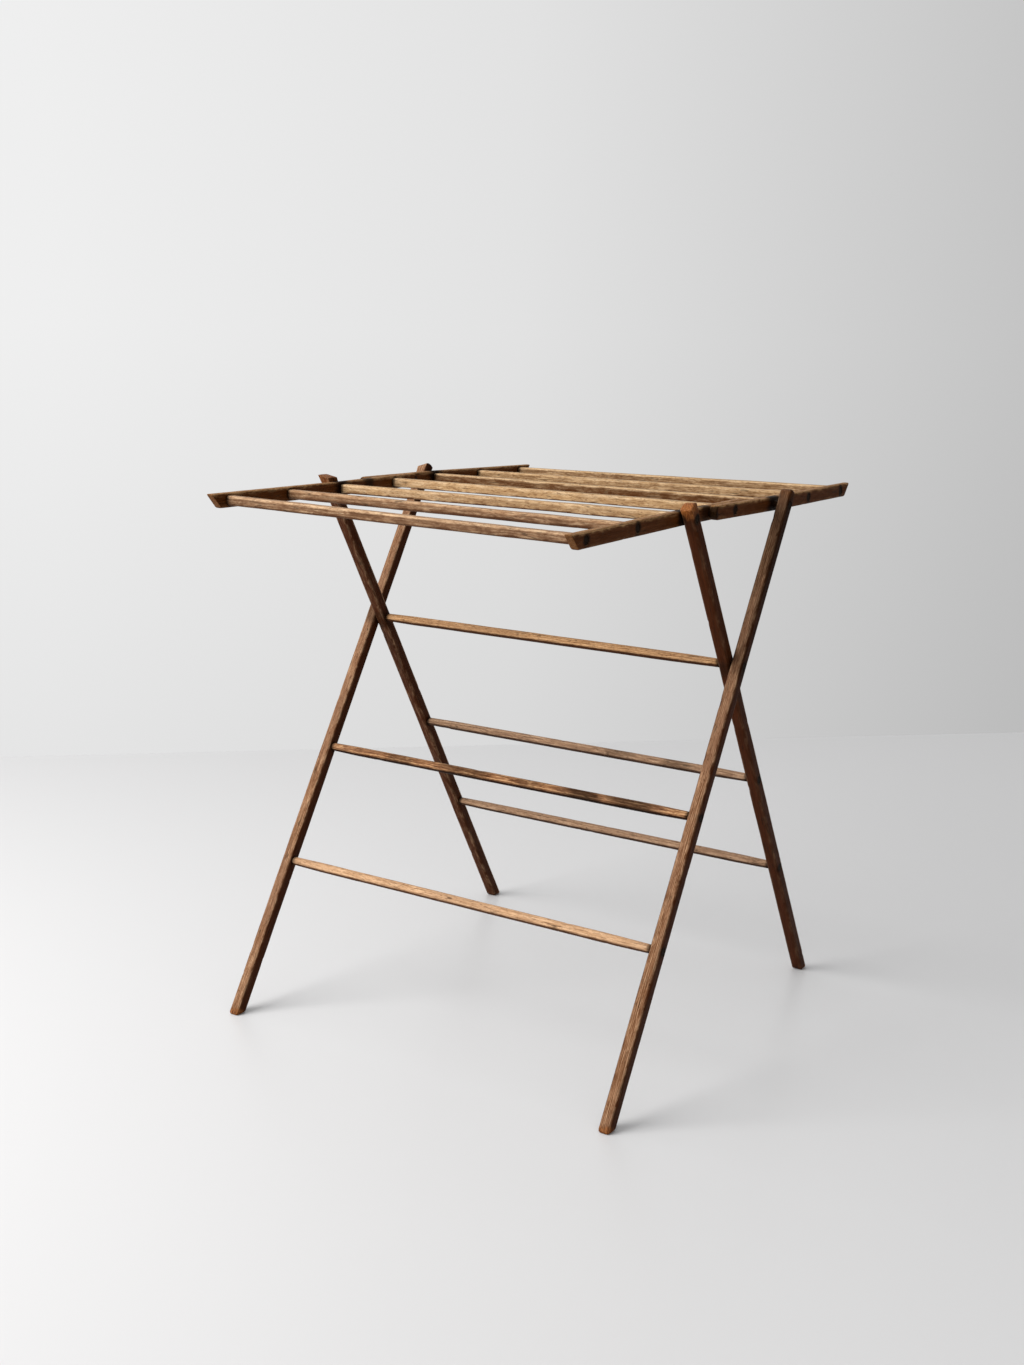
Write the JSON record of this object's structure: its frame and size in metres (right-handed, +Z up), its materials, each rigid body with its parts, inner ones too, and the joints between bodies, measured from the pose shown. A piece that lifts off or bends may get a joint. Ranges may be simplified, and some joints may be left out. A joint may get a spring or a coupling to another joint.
{
  "type": "clothes drying rack",
  "caption": "Folding wooden clothes drying rack: two crossed leg frames joined by rungs carry a flat top of parallel rungs in two hinged halves.",
  "frame": {"origin": "on the floor, at the middle of the rack as it stands open", "axes": "+X along the rungs to the right, +Y to the rear, +Z up"},
  "size_m": [0.7544, 0.9502, 0.9148],
  "materials": {
    "leg_wood": "aged bare hardwood, dark, worn smooth",
    "rail_wood": "aged bare hardwood, dark, edges worn",
    "top_rung_wood": "weathered bare oak, open grain, lighter on top",
    "leg_rung_wood": "aged bare turned hardwood",
    "tenon_wood": "dark end grain"
  },
  "bodies": {
    "outer_legs": {"outer_leg_left": "leg_wood", "outer_leg_right": "leg_wood", "outer_leg_upper_rung": "leg_rung_wood", "outer_leg_lower_rung": "leg_rung_wood", "leg_pivot_rung": "leg_rung_wood", "rear_pivot_rung": "top_rung_wood"},
    "inner_legs": {"inner_leg_left": "leg_wood", "inner_leg_right": "leg_wood", "inner_leg_upper_rung": "leg_rung_wood", "inner_leg_lower_rung": "leg_rung_wood", "front_pivot_rung": "top_rung_wood"},
    "front_half": {"front_rail_left": "rail_wood", "front_rail_right": "rail_wood", "front_edge_rung": "top_rung_wood", "front_middle_rung": "top_rung_wood", "hinge_rung": "top_rung_wood"},
    "rear_half": {"rear_rail_left": "rail_wood", "rear_rail_right": "rail_wood", "rear_middle_rung": "top_rung_wood", "rear_edge_rung": "top_rung_wood", "hinge_tenon_left": "tenon_wood", "hinge_tenon_right": "tenon_wood"}
  },
  "joints": [
    {"name": "leg_fold", "type": "hinge", "parent": "outer_legs", "child": "inner_legs", "pos_m": [0, 0, 0.644], "axis": [-1, 0, 0], "range_deg": [0, 53.48]},
    {"name": "rear_half_fold", "type": "hinge", "parent": "outer_legs", "child": "rear_half", "pos_m": [0, 0.146, 0.8895], "axis": [-1, 0, 0], "range_deg": [0, 108.44]},
    {"name": "front_half_fold", "type": "hinge", "parent": "inner_legs", "child": "front_half", "pos_m": [0, -0.146, 0.8895], "axis": [1, 0, 0], "range_deg": [0, 108.44]}
  ],
  "couplings": [
    {"joint": "rear_half_fold", "follows": "leg_fold", "ratio": 2.0274},
    {"joint": "front_half_fold", "follows": "leg_fold", "ratio": 2.0274}
  ]
}
